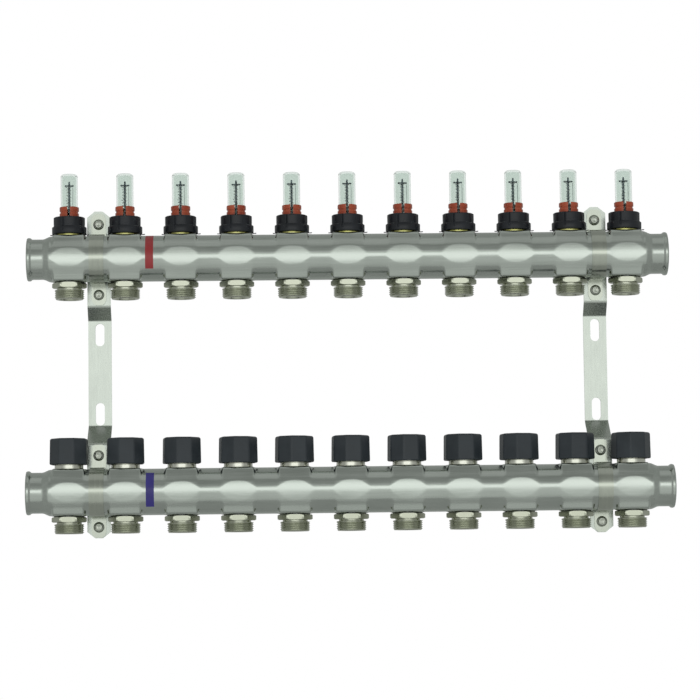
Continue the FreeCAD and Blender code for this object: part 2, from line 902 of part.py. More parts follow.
# ------------------------------------------------------------- clamp straps
seat_r = size("body_r") + size("seat_gap")
strap_r = seat_r + size("strap_t")
strap_ring = cut(
    "strap_ring",
    cylinder("strap_round", strap_r, size("strap_w"), -size("strap_w") / 2, 0, 0, LIE_X),
    cylinder("strap_bore", seat_r, size("strap_w") + 2, -size("strap_w") / 2 - 1, 0, 0, LIE_X),
)
strap_front = common(
    "strap_front",
    [strap_ring, box("strap_side", 40, 40, 60, 0, -40, -30)],
)
strap_parts = [
    strap_front,
    box("strap_leg_up", size("strap_w"), seat_r, size("strap_t"), 0, 0, seat_r),
    box("strap_leg_down", size("strap_w"), seat_r, size("strap_t"), 0, 0, -strap_r),
]
ear_y = seat_r - size("strap_t")
ear_half = size("strap_w") / 2
ear_corner = size("ear_corner")
for word, near, far in (
    ("up", seat_r, size("ear_up")),
    ("down", -seat_r, -size("ear_down")),
):
    sign = 1 if word == "up" else -1
    ear = padded(
        "strap_ear_" + word,
        "XZ_Plane",
        [
            (-ear_half, near),
            (ear_half, near),
            (ear_half, far - sign * ear_corner * 1.5),
            (ear_half - ear_corner * 0.4, far - sign * ear_corner * 0.5),
            (ear_half - ear_corner, far),
            (-ear_half + ear_corner, far),
            (-ear_half + ear_corner * 0.4, far - sign * ear_corner * 0.5),
            (-ear_half, far - sign * ear_corner * 1.5),
        ],
        size("strap_t"),
    )
    place(ear, 0, ear_y + size("strap_t") / 2, 0)
    strap_parts.append(ear)
strap_tools = [
    cylinder("ear_hole_up", size("ear_hole_r"), 6, 0, ear_y - 2, size("hole_up"), LIE_Y),
    cylinder("ear_hole_down", size("ear_hole_r"), 6, 0, ear_y - 2, -size("hole_down"), LIE_Y),
]
strap_pattern = cut("strap_pattern", fuse("strap_solid", strap_parts), fuse("ear_holes", strap_tools))
strap_places = []
screw_places = []
for x in (left_x, right_x):
    for y, z in ((supply_y, supply_z), (return_y, return_z)):
        strap_places.append((x, y, z))
        screw_places.append((x, y + ear_y, z + size("hole_up")))
        screw_places.append((x, y + ear_y, z - size("hole_down")))
group_node("clamp_straps", strap_pattern, strap_places)

# The screw is turned about Z with its head up, then laid along Y.
head_len = size("screw_head_len")
head_r = size("screw_head_r")
screw_end = -(size("strap_t") + strip_t + size("screw_reach"))
screw_turned = turned(
    "screw_turned",
    [
        (0, screw_end),
        (size("screw_r") - 0.5, screw_end),
        (size("screw_r"), screw_end + 0.5),
        (size("screw_r"), 0),
        (head_r, 0),
        (head_r, head_len * 0.55),
        (head_r - 0.6, head_len * 0.85),
        (head_r - 1.5, head_len),
        (0, head_len),
    ],
)
screw_socket = prism(
    "screw_socket", 6, size("socket_across"), size("socket_len") + 1, head_len - size("socket_len")
)
screw_upright = cut("screw_upright", screw_turned, screw_socket)
screw_pattern = doc.addObject("Part::Compound", "screw_pattern")
screw_laid = doc.addObject("App::Link", "screw_laid")
screw_laid.LinkedObject = screw_upright
place(screw_laid, 0, 0, 0, Rot(Vec(1, 0, 0), 90))
screw_pattern.Links = [screw_laid]
group_node("clamp_screws", screw_pattern, screw_places)

# ----------------------------------------------------------- coloured bands
label_inner = size("body_r") + size("label_lift")
for word, y, z in (("supply", supply_y, supply_z), ("return", return_y, return_z)):
    up = size(word + "_label_up")
    down = size(word + "_label_down")
    outer = cylinder(word + "_band", label_inner + size("label_t"), size("label_w"), 0, 0, 0, LIE_X)
    bind(outer, "Angle", up + down)
    turn = Rot(Vec(1, 0, 0), 270 - up.value).multiply(LIE_X)
    outer.Placement = FreeCAD.Placement(Vec(), turn)
    core = cylinder(word + "_band_core", label_inner, size("label_w") + 2, -1, 0, 0, LIE_X)
    band = cut(word + "_band_pattern", outer, core)
    node(word + "_label", band, middle_x + size("label_x") - size("label_w") / 2, y, z)

# ------------------------------------------------------------ moving pieces
for number in range(PORTS):
    tag = "_%02d" % (number + 1)
    node("hand_cap" + tag, cap_pattern, *return_places[number], Rot(Vec(0, 0, 1), CAP_TURN[number]))
    node("valve_spindle" + tag, spindle_pattern, *return_places[number])
    node("meter_collar" + tag, collar_pattern, *supply_places[number])
    node("flow_indicator" + tag, indicator_pattern, *supply_places[number])

# ---------------------------------------------------------------- checking
doc.recompute()
for obj in doc.Objects:
    for word in ("Invalid", "Error"):
        if word in obj.State:
            raise RuntimeError("%s is in state %s" % (obj.Name, word))
for obj in NODES:
    if obj.Shape.isNull() or not obj.Shape.isValid() or not obj.Shape.Solids:
        raise RuntimeError("%s has no valid solid" % obj.Label)

os.makedirs("parts", exist_ok=True)
for obj in NODES:
    obj.Shape.exportStep(os.path.join("parts", obj.Label + ".step"))
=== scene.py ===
import bpy
import bmesh
import json
import math
import numpy as np
from mathutils import Vector, Matrix


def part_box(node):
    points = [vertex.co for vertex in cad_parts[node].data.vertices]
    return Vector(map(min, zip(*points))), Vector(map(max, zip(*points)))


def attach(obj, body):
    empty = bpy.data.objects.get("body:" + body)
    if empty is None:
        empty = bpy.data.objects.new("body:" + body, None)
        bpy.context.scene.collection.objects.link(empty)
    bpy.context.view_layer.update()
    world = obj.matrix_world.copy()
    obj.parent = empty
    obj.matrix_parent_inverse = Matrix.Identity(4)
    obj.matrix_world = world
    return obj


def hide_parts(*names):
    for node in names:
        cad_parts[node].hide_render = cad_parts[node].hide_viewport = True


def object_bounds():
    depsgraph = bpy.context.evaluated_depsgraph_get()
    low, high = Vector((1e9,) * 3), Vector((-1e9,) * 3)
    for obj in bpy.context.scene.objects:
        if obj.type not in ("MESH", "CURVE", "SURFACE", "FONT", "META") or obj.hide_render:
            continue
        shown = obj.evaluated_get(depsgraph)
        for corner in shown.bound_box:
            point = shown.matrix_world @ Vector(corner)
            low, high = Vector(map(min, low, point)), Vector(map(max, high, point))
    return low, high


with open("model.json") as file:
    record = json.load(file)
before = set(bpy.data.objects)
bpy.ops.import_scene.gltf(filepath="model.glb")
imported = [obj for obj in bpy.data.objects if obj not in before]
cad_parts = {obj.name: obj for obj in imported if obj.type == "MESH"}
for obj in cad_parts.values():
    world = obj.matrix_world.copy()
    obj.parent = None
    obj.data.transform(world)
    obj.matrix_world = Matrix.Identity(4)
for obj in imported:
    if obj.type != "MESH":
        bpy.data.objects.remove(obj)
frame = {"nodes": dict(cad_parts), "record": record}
cad_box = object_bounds()
record = frame["record"]
nodes = frame["nodes"]

# ------------------------------------------------------------------ helpers


class Look:
    """A node material being built: a short way to add and join nodes."""

    def __init__(self, name):
        self.mat = bpy.data.materials.new(name)
        self.mat.use_nodes = True
        self.tree = self.mat.node_tree
        self.tree.nodes.clear()
        self.out = self.tree.nodes.new("ShaderNodeOutputMaterial")
        self.bsdf = self.tree.nodes.new("ShaderNodeBsdfPrincipled")
        self.join(self.bsdf.outputs[0], self.out.inputs["Surface"])

    def join(self, a, b):
        self.tree.links.new(a, b)

    def put(self, socket, value):
        if isinstance(value, bpy.types.NodeSocket):
            self.join(value, socket)
        else:
            socket.default_value = value

    def set(self, **values):
        for key, value in values.items():
            self.put(self.bsdf.inputs[key.replace("_", " ")], value)
        return self

    def node(self, kind, **props):
        item = self.tree.nodes.new("ShaderNode" + kind)
        for key, value in props.items():
            setattr(item, key, value)
        return item

    def coords(self, scale=(1, 1, 1), turn=(0, 0, 0)):
        """Object coordinates in metres, stretched by scale."""
        src = self.node("TexCoord")
        mapping = self.node("Mapping")
        self.join(src.outputs["Object"], mapping.inputs["Vector"])
        mapping.inputs["Scale"].default_value = scale
        mapping.inputs["Rotation"].default_value = turn
        return mapping.outputs[0]

    def noise(self, scale, detail=3.0, rough=0.5, stretch=(1, 1, 1)):
        tex = self.node("TexNoise")
        tex.inputs["Scale"].default_value = scale
        tex.inputs["Detail"].default_value = detail
        tex.inputs["Roughness"].default_value = rough
        self.join(self.coords(stretch), tex.inputs["Vector"])
        return tex.outputs["Fac"]

    def ramp(self, fac, stops):
        item = self.node("ValToRGB")
        self.put(item.inputs["Fac"], fac)
        band = item.color_ramp.elements
        while len(band) < len(stops):
            band.new(0.5)
        for element, (place, colour) in zip(band, stops):
            element.position = place
            element.color = tuple(colour) + (1.0,) if len(colour) == 3 else colour
        return item.outputs["Color"]

    def level(self, fac, low, high, start=0.0, end=1.0):
        item = self.node("MapRange")
        self.put(item.inputs["Value"], fac)
        item.inputs["From Min"].default_value = start
        item.inputs["From Max"].default_value = end
        item.inputs["To Min"].default_value = low
        item.inputs["To Max"].default_value = high
        return item.outputs["Result"]

    def math(self, kind, a, b=0.0):
        item = self.node("Math", operation=kind)
        self.put(item.inputs[0], a)
        self.put(item.inputs[1], b)
        return item.outputs[0]

    def mix(self, fac, a, b, kind="MIX"):
        item = self.node("Mix", data_type="RGBA", blend_type=kind)
        self.put(item.inputs["Factor"], fac)
        for socket, value in ((item.inputs[6], a), (item.inputs[7], b)):
            if not isinstance(value, bpy.types.NodeSocket) and len(value) == 3:
                value = tuple(value) + (1.0,)
            self.put(socket, value)
        return item.outputs[2]

    def bump(self, height, strength=0.2, distance=0.0002, normal=None):
        item = self.node("Bump")
        item.inputs["Strength"].default_value = strength
        item.inputs["Distance"].default_value = distance
        self.put(item.inputs["Height"], height)
        if normal is not None:
            self.put(item.inputs["Normal"], normal)
        self.put(self.bsdf.inputs["Normal"], item.outputs[0])
        return item.outputs[0]

    def edges(self, radius=0.0006, low=0.02, high=0.35):
        """0 on flat faces and 1 near sharp edges: a mask for rubbed edges and for a painted highlight
        along the edges.
        """
        bevel = self.node("Bevel", samples=4)
        bevel.inputs["Radius"].default_value = radius
        geo = self.node("NewGeometry")
        dot = self.node("VectorMath", operation="DOT_PRODUCT")
        self.join(bevel.outputs[0], dot.inputs[0])
        self.join(geo.outputs["Normal"], dot.inputs[1])
        off = self.math("SUBTRACT", 1.0, dot.outputs["Value"])
        return self.level(off, 0.0, 1.0, low, high)


def brushed(name, dark, light, rough, stretch, scale=900, metal=1.0, bump=0.12):
    """Metal with fine lines along one direction and soft cloudy patches."""
    look = Look(name)
    lines = look.noise(scale, 4.0, 0.65, stretch)
    cloud = look.noise(28, 3.0, 0.5)
    tone = look.math("ADD", look.math("MULTIPLY", lines, 0.6), look.math("MULTIPLY", cloud, 0.4))
    colour = look.ramp(tone, [(0.35, dark), (0.65, light)])
    look.set(Base_Color=colour, Metallic=metal)
    look.set(Roughness=look.level(tone, rough - 0.05, rough + 0.07, 0.35, 0.65))
    look.bump(lines, bump, 0.0001)
    return look.mat


MATS = {}
MATS["stainless"] = brushed(
    "stainless_satin", (0.46, 0.50, 0.46), (0.54, 0.58, 0.54), 0.19, (0.04, 1, 1), bump=0.03
)
MATS["zinc"] = brushed(
    "zinc_plate", (0.50, 0.54, 0.49), (0.57, 0.61, 0.56), 0.26, (1, 1, 0.08), bump=0.03
)
MATS["zinc_strap"] = brushed(
    "zinc_strap", (0.44, 0.47, 0.41), (0.51, 0.54, 0.47), 0.2, (1, 0.1, 0.1), scale=500, bump=0.02
)
MATS["screw_steel"] = brushed("screw_zinc", (0.40, 0.43, 0.37), (0.56, 0.58, 0.52), 0.22, (1, 1, 1))
MATS["nickel"] = brushed(
    "nickel_satin", (0.44, 0.46, 0.37), (0.54, 0.56, 0.46), 0.2, (0.3, 0.3, 1), bump=0.03
)
MATS["nickel_bright"] = brushed("nickel_bright", (0.55, 0.56, 0.48), (0.8, 0.8, 0.72), 0.2, (0.3, 0.3, 1))
MATS["brass"] = brushed("brass_turned", (0.42, 0.42, 0.12), (0.66, 0.64, 0.26), 0.28, (0.3, 0.3, 1))
MATS["spindle_steel"] = brushed("spindle_steel", (0.5, 0.5, 0.48), (0.7, 0.7, 0.68), 0.22, (0.3, 0.3, 1))
MATS["spring_steel"] = brushed("spring_steel", (0.42, 0.43, 0.42), (0.65, 0.66, 0.65), 0.28, (1, 1, 1))


def plastic(name, dark, light, rough, grain=2600, edge_wear_and_highlight=None):
    """Moulded plastic: fine grain, faint mottling and slightly paler edges, partly rubbed plastic and
    partly a painted highlight.
    """
    look = Look(name)
    fine = look.noise(grain, 2.0, 0.6)
    cloud = look.noise(60, 3.0, 0.5)
    colour = look.ramp(cloud, [(0.35, dark), (0.7, light)])
    if edge_wear_and_highlight is not None:
        # Paler edges: partly rubbed plastic, partly a painted highlight along the edges.
        colour = look.mix(look.edges(0.0005), colour, edge_wear_and_highlight)
    look.set(Base_Color=colour, Roughness=look.level(cloud, rough - 0.05, rough + 0.06, 0.3, 0.7))
    look.set(Specular_IOR_Level=0.45)
    look.bump(fine, 0.1, 0.00008)
    return look.mat


# The edge colours below are partly rubbed plastic and partly a painted highlight on the edges.
MATS["cap_plastic"] = plastic(
    "cap_plastic", (0.028, 0.036, 0.044), (0.042, 0.052, 0.062), 0.42, edge_wear_and_highlight=(0.11, 0.13, 0.15)
)
MATS["black_plastic"] = plastic(
    "collar_plastic", (0.007, 0.009, 0.013), (0.014, 0.017, 0.024), 0.36, edge_wear_and_highlight=(0.05, 0.057, 0.075)
)
MATS["red_plastic"] = plastic(
    "ring_plastic", (0.40, 0.06, 0.025), (0.58, 0.11, 0.045), 0.3, edge_wear_and_highlight=(0.8, 0.3, 0.17)
)
MATS["indicator_plastic"] = plastic("indicator_plastic", (0.07, 0.09, 0.11), (0.13, 0.155, 0.18), 0.4)
MATS["seal_rubber"] = plastic("seal_rubber", (0.008, 0.009, 0.009), (0.022, 0.023, 0.022), 0.6)
MATS["label_red"] = plastic("label_red", (0.36, 0.03, 0.035), (0.46, 0.05, 0.055), 0.35)
MATS["label_blue"] = plastic("label_blue", (0.04, 0.03, 0.22), (0.06, 0.05, 0.32), 0.35)


def clear_glass():
    """Clear plastic with a faint green tint and an uneven polish."""
    look = Look("sight_glass")
    cloud = look.noise(90, 2.0, 0.5)
    look.set(Base_Color=(0.72, 0.785, 0.745, 1.0), Transmission_Weight=1.0, IOR=1.22)
    look.set(Roughness=look.level(cloud, 0.0, 0.02, 0.3, 0.7))
    return look.mat


MATS["sight_glass"] = clear_glass()

for part in record["subparts"]:
    obj = nodes[part["node"]]
    mat = MATS[part["material_slot"]]
    if obj.material_slots:
        for item in obj.material_slots:
            item.material = mat
    else:
        obj.data.materials.append(mat)

MM = 0.001
TURN = 2 * math.pi


class Shape:
    """A mesh being built in millimetres from closed grids, then made into a piece."""

    def __init__(self):
        self.verts = []
        self.faces = []
        self.slots = []
        self.slot = 0

    def grid(self, rows, close_rows=False, close_cols=True, flip=False):
        """Joins rows of points into faces; every row has as many points as the others."""
        base = len(self.verts)
        wide = len(rows[0])
        for row in rows:
            self.verts.extend(row)
        for i in range(len(rows) if close_rows else len(rows) - 1):
            for j in range(wide if close_cols else wide - 1):
                a = base + i * wide + j
                b = base + i * wide + (j + 1) % wide
                c = base + (i + 1) % len(rows) * wide + (j + 1) % wide
                d = base + (i + 1) % len(rows) * wide + j
                self.faces.append((a, d, c, b) if flip else (a, b, c, d))
                self.slots.append(self.slot)
        return self

    def fan(self, row, centre, flip=False):
        """Closes a ring of points to one centre point."""
        base = len(self.verts)
        self.verts.extend(row)
        self.verts.append(centre)
        for j in range(len(row)):
            a, b = base + j, base + (j + 1) % len(row)
            self.faces.append((b, a, base + len(row)) if flip else (a, b, base + len(row)))
            self.slots.append(self.slot)
        return self

    def piece(self, name, body, mats, slot, nodes=(), smooth=30.0, move=(0, 0, 0)):
        """The finished Blender object, in place, riding on its CAD body."""
        mesh = bpy.data.meshes.new(name)
        points = [[(p[k] + move[k]) * MM for k in range(3)] for p in self.verts]
        mesh.from_pydata(points, [], self.faces)
        mesh.polygons.foreach_set("material_index", self.slots)
        work = bmesh.new()
        work.from_mesh(mesh)
        bmesh.ops.remove_doubles(work, verts=work.verts, dist=1e-7)
        bmesh.ops.recalc_face_normals(work, faces=work.faces)
        limit = math.radians(smooth)
        for edge in work.edges:
            edge.smooth = edge.is_manifold and edge.calc_face_angle(0.0) < limit
        for face in work.faces:
            face.smooth = True
        work.to_mesh(mesh)
        work.free()
        for mat in mats:
            mesh.materials.append(mat)
        obj = bpy.data.objects.new(name, mesh)
        bpy.context.scene.collection.objects.link(obj)
        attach(obj, body)
        if nodes:
            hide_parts(*nodes)
        return obj


def smooth_min(a, b, k):
    """The smaller of two arrays, rounded over a width k where they cross."""
    h = np.clip(0.5 + 0.5 * (b - a) / k, 0.0, 1.0)
    return b * (1 - h) + a * h - k * h * (1 - h)


def smooth_max(a, b, k):
    """The larger of two arrays, rounded in the same way."""
    return -smooth_min(-a, -b, k)


def ring(radius, z, steps=96, phase=0.0):
    """A circle of points; radius may be a function of the angle."""
    out = []
    for j in range(steps):
        t = phase + TURN * j / steps
        r = radius(t) if callable(radius) else radius
        out.append((r * math.cos(t), r * math.sin(t), z))
    return out


def lathe(shape, profile, steps=96, closed=True):
    """Turns (radius, z) points about Z into the shape."""
    return shape.grid([ring(r, z, steps) for r, z in profile], close_rows=closed)


def arc(cx, cz, radius, start, end, steps=5):
    """Points of a round corner in a profile; angles in degrees."""
    out = []
    for i in range(steps + 1):
        t = math.radians(start + (end - start) * i / steps)
        out.append((cx + radius * math.cos(t), cz + radius * math.sin(t)))
    return out


def polygon_radius(sides, flat, t, turn=0.0):
    """Distance to the edge of a regular polygon at angle t; flat is centre to flat."""
    step = TURN / sides
    return flat / math.cos((t - turn + step / 2) % step - step / 2)


# --------------------------------------------------------------- the frame's own places
def mid(node, axis):
    """Middle of a CAD node's box along one axis, in millimetres."""
    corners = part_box(node)
    return (corners[0][axis] + corners[1][axis]) / 2 / MM


PORTS = range(1, 12)
PORT_X = [mid("valve_spindle_%02d" % n, 0) for n in PORTS]
SUPPLY = (mid("supply_bar", 1), mid("supply_bar", 2))
RETURN = (mid("return_bar", 1), mid("return_bar", 2))
BAR_LOW_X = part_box("supply_bar")[0][0] / MM
BAR_HIGH_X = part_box("supply_bar")[1][0] / MM

# ------------------------------------------------------------------ bars
# From here on sizes are in millimetres, and z counts from the axis of the piece's bar
BODY_R = 20.6
NECK_R = 18.1
RIM_R = 19.5
RIM_LEN = 3.5
NECK_LEN = 13.5
SHOULDER = 21.5
WALL = 1.5
BOSS_HALF = 14.6
PAD_Z = 21.0
SLANT = math.radians(22.5)
DENT_FACE = 19.62  # lens-shaped flats, front and back: reach, and the radii of their two curves
DENT_R = 130.0
DENT_CROWN_R = 65.0
LIP_ROUND = 0.5
X_STEP = 1.0
INNER_EVERY = 25  # steps between two rings of points on the plain inside
ROUND_STEPS = 224
# How much closer the points stand on the front and back of the tube than on its top
ROUND_CROWD = 0.55


def tube_radius(x):
    """Outside radius of the plain tube, with its rolled rim, neck and shoulder."""
    d = np.minimum(x - BAR_LOW_X, BAR_HIGH_X - x)
    swell = np.clip((d - NECK_LEN) / (SHOULDER - NECK_LEN), 0, 1)
    swell = swell * swell * (3 - 2 * swell)
    rim = np.clip((d - RIM_LEN + 1.0) / 2.0, 0, 1)
    rim = 1 - rim * rim * (3 - 2 * rim)
    return NECK_R + (BODY_R - NECK_R) * swell + (RIM_R - NECK_R) * rim


def bar_skin(x, angle):
    """Distance of the bar's skin from its axis, found by halving along each ray."""
    u = np.min(np.abs(x[..., None] - np.array(PORT_X)), axis=-1)
    tube = tube_radius(x)
    hollow = np.minimum(u, 40.0) ** 2 / (2 * DENT_R)
    low = np.full(x.shape, 5.0)
    high = np.full(x.shape, 30.0)
    for _ in range(30):
        r = (low + high) / 2
        y, z = r * np.cos(angle), r * np.sin(angle)
        slant = np.abs(y) * math.cos(SLANT) + np.abs(z) * math.sin(SLANT) - BODY_R
        boss = smooth_max(slant, np.abs(z) - PAD_Z, 2.0)
        boss = smooth_max(boss, u - BOSS_HALF, 2.4)
        boss = smooth_max(boss, np.abs(y) - BODY_R * math.cos(SLANT), 0.3)
        solid = smooth_min(r - tube, boss, 1.5)
        face = DENT_FACE + hollow - np.minimum(z**2, 400.0) / (2 * DENT_CROWN_R)
        solid = smooth_max(solid, np.abs(y) - face, 0.12)
        solid = smooth_max(solid, np.abs(z) - PAD_Z, 0.15)
        low = np.where(solid < 0, r, low)
        high = np.where(solid < 0, high, r)
    return (low + high) / 2


PORT_OPEN_R = 10.4
PORT_FLOOR = 14.0
SLEEVE_BORE = 10.5
SLEEVE_OUT = 12.6
SLEEVE_LOW = 12.0
SLEEVE_TOP = 20.9


def open_ports(shape):
    """Takes away the faces that would close the ports; a sleeve lines each opening."""
    points = np.array(shape.verts)
    middle = points[np.array(shape.faces)].mean(axis=1)
    off = np.min(np.abs(middle[:, :1] - np.array(PORT_X)), axis=1)
    shut = (np.abs(middle[:, 2]) > PORT_FLOOR) & (off**2 + middle[:, 1] ** 2 < PORT_OPEN_R**2)
    shape.faces = [face for face, gone in zip(shape.faces, shut) if not gone]
    shape.slots = shape.slots[: len(shape.faces)]


def bar(name, node, axis, mats):
    """One hydroformed tube: pads at the ports, lens-shaped flats, rolled rims, hollow."""
    count = int(round((BAR_HIGH_X - BAR_LOW_X) / X_STEP))
    xs = np.linspace(BAR_LOW_X, BAR_HIGH_X, count + 1)
    even = np.arange(ROUND_STEPS) * TURN / ROUND_STEPS
    angles = even - ROUND_CROWD / 2 * np.sin(2 * even)
    grid_x, grid_a = np.meshgrid(xs, angles, indexing="ij")
    skin = bar_skin(grid_x, grid_a)
    lip = np.minimum(xs - BAR_LOW_X, BAR_HIGH_X - xs)
    to_end = np.clip(LIP_ROUND - lip, 0, LIP_ROUND)
    round_off = LIP_ROUND - np.sqrt(LIP_ROUND**2 - to_end**2)
    skin = skin - round_off[:, None]
    inner = tube_radius(xs) - WALL
    shape = Shape()
    outer_rows, inner_rows = [], []
    for i, x in enumerate(xs):
        cosines, sines = np.cos(angles), np.sin(angles)
        outer_rows.append([(x, r * c, r * s) for r, c, s in zip(skin[i], cosines, sines)])
        if i in (0, count) or i % INNER_EVERY == 0 or lip[i] < SHOULDER:
            inner_rows.append([(x, inner[i] * c, inner[i] * s) for c, s in zip(cosines, sines)])
    shape.grid(outer_rows + inner_rows[::-1], close_rows=True)
    open_ports(shape)
    sleeve = [(SLEEVE_BORE, SLEEVE_LOW), (SLEEVE_OUT, SLEEVE_LOW)]
    sleeve += [(SLEEVE_OUT, SLEEVE_TOP), (SLEEVE_BORE, SLEEVE_TOP)]
    for side in (-1, 1):
        levels = [ring(r, side * z, 48) for r, z in sleeve]
        for x in PORT_X:
            shape.grid([[(x + a, b, z) for a, b, z in level] for level in levels], close_rows=True)
    return shape.piece(name, "manifold", mats, "stainless", [node], smooth=40, move=(0,) + axis)


# --------------------------------------------------------------- outlet nipples
HEX_FLAT = 13.5
HEX_FACE_R = 14.5
HEX_CHAMFER = 0.65
HEX_CHAMFER_SLOPE = 1.73
HEX_TOP = -21.6
HEX_LOW = -26.2
NECK_OUT = 11.0
THREAD_TOP = -28.1
THREAD_LOW = -36.4
THREAD_R = 13.22
THREAD_PITCH = 1.814
THREAD_DEPTH = 0.9
THREAD_FADE_TOP = 1.2
THREAD_FADE_LOW = 1.3
THREAD_CHAMFER = 1.2
THREAD_CHAMFER_LEN = 1.1
THREAD_LEVELS = 56
BORE_R = 7.0
MOUTH_R = 9.4
MOUTH_LEN = 4.0
NIPPLE_STEPS = 96


def hex_ring(z, limit):
    """One level of the hexagon, cut back to a round limit as a turned chamfer does."""
    return ring(lambda t: min(polygon_radius(6, HEX_FLAT, t, math.pi / 2), limit), z, NIPPLE_STEPS)


def thread_ring(z):
    """One level of the outside thread, fading out at both ends."""
    def radius(t):
        phase = ((z - THREAD_TOP) / THREAD_PITCH - t / TURN) % 1.0
        wave = 0.5 - 0.5 * math.cos(TURN * phase)
        wave = wave**0.8
        fade = min(1.0, (THREAD_TOP - z) / THREAD_FADE_TOP, (z - THREAD_LOW) / THREAD_FADE_LOW)
        chamfer = THREAD_R - THREAD_CHAMFER + (z - THREAD_LOW) * THREAD_CHAMFER / THREAD_CHAMFER_LEN
        return min(chamfer, THREAD_R) - THREAD_DEPTH * wave * max(fade, 0.0)
    return ring(radius, z, NIPPLE_STEPS)


def nipple_shape():
    """Outlet nipple: hexagon chamfered at both ends, neck, outside thread and bore."""
    shape = Shape()
    rows = [ring(BORE_R, HEX_TOP, NIPPLE_STEPS)]
    rows.append(hex_ring(HEX_TOP, HEX_FACE_R))
    for i in range(1, 7):
        drop = HEX_CHAMFER * i / 6
        rows.append(hex_ring(HEX_TOP - drop, HEX_FACE_R + drop * HEX_CHAMFER_SLOPE))
    for i in range(6, -1, -1):
        rise = HEX_CHAMFER * i / 6
        rows.append(hex_ring(HEX_LOW + rise, HEX_FACE_R + rise * HEX_CHAMFER_SLOPE))
    rows.append(ring(NECK_OUT + 0.3, HEX_LOW, NIPPLE_STEPS))
    rows.append(ring(NECK_OUT, HEX_LOW - 0.3, NIPPLE_STEPS))
    rows.append(ring(NECK_OUT, THREAD_TOP + 0.5, NIPPLE_STEPS))
    rows.append(ring(NECK_OUT + 0.9, THREAD_TOP + 0.35, NIPPLE_STEPS))
    for i in range(THREAD_LEVELS + 1):
        rows.append(thread_ring(THREAD_TOP + (THREAD_LOW - THREAD_TOP) * i / THREAD_LEVELS))
    rows.append(ring(MOUTH_R, THREAD_LOW, NIPPLE_STEPS))
    rows.append(ring(BORE_R, THREAD_LOW + MOUTH_LEN, NIPPLE_STEPS))
    shape.grid(rows, close_rows=True)
    return shape


def copies(source, places):
    """One shape repeated at several places."""
    out = Shape()
    for dx, dy, dz in places:
        base = len(out.verts)
        out.verts.extend((x + dx, y + dy, z + dz) for x, y, z in source.verts)
        out.faces.extend(tuple(base + i for i in face) for face in source.faces)
        out.slots.extend(source.slots)
    return out


# ---------------------------------------------------------------- clamp screws
SCREW_HEAD_R = 4.8
SCREW_HEAD_LEN = 3.2
SCREW_R = 2.45
SOCKET_FLAT = 2.0
SOCKET_LEN = 1.7
SCREW_LEN = 8.5
SCREW_STEPS = 48
HOLE_UP = 33.7  # from a bar's axis to the screw above it and to the one below
HOLE_DOWN = 30.3


def screw_shape():
    """Pan-head screw with a hexagon socket, pointing along +Y with its head toward -Y."""
    def socket(t):
        return polygon_radius(6, SOCKET_FLAT, t)

    profile = [(SCREW_R - 0.5, -SCREW_LEN), (SCREW_R, 0.5 - SCREW_LEN), (SCREW_R, 0.0)]
    profile += [(SCREW_HEAD_R - 0.15, 0.0), (SCREW_HEAD_R, 0.15), (SCREW_HEAD_R, 0.6), (4.5, 1.3)]
    profile += [(3.75, 2.4), (3.5, 2.75), (3.2, 3.0), (2.9, 3.13), (2.6, SCREW_HEAD_LEN)]
    profile += [(lambda t: socket(t) + 0.15, SCREW_HEAD_LEN)]
    profile += [(socket, SCREW_HEAD_LEN - 0.2), (socket, SCREW_HEAD_LEN - SOCKET_LEN)]
    profile += [(0.02, SCREW_HEAD_LEN - SOCKET_LEN - 0.3)]
    shape = Shape()
    shape.grid([ring(r, z, SCREW_STEPS) for r, z in profile])
    shape.fan(ring(SCREW_R - 0.5, -SCREW_LEN, SCREW_STEPS), (0, 0, -SCREW_LEN))
    shape.verts = [(x, -z, y) for x, y, z in shape.verts]
    return shape


def strap_places():
    """Where the screw heads sit: the middle of each head, on the face of its ear."""
    low, high = [Vector(v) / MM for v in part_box("clamp_screws")]
    sides = (low.x + SCREW_HEAD_R, high.x - SCREW_HEAD_R)
    rows = (
        (SUPPLY[0], SUPPLY[1] + HOLE_UP), (SUPPLY[0], SUPPLY[1] - HOLE_DOWN),
        (RETURN[0], RETURN[1] + HOLE_UP), (RETURN[0], RETURN[1] - HOLE_DOWN),
    )
    face = low.y + SCREW_HEAD_LEN - RETURN[0]
    return [(x, y + face, z) for x in sides for y, z in rows]


PORT_PLACES = [(x, *SUPPLY) for x in PORT_X] + [(x, *RETURN) for x in PORT_X]

# ------------------------------------------------------------------- hand caps
CAP_LOW = 24.8
CAP_TOP = 48.0
CAP_FLAT = 16.5
CAP_ROUND = 17.6
CAP_BORE = 15.0
CAP_ROOF = 44.65
CAP_ROOF_CHAMFER = 1.5
CAP_ROOF_RISE = 1.45
CAP_CORNER = 2.0
CAP_DISH = 0.9
CAP_LIP = 0.9
CAP_STEPS = 128


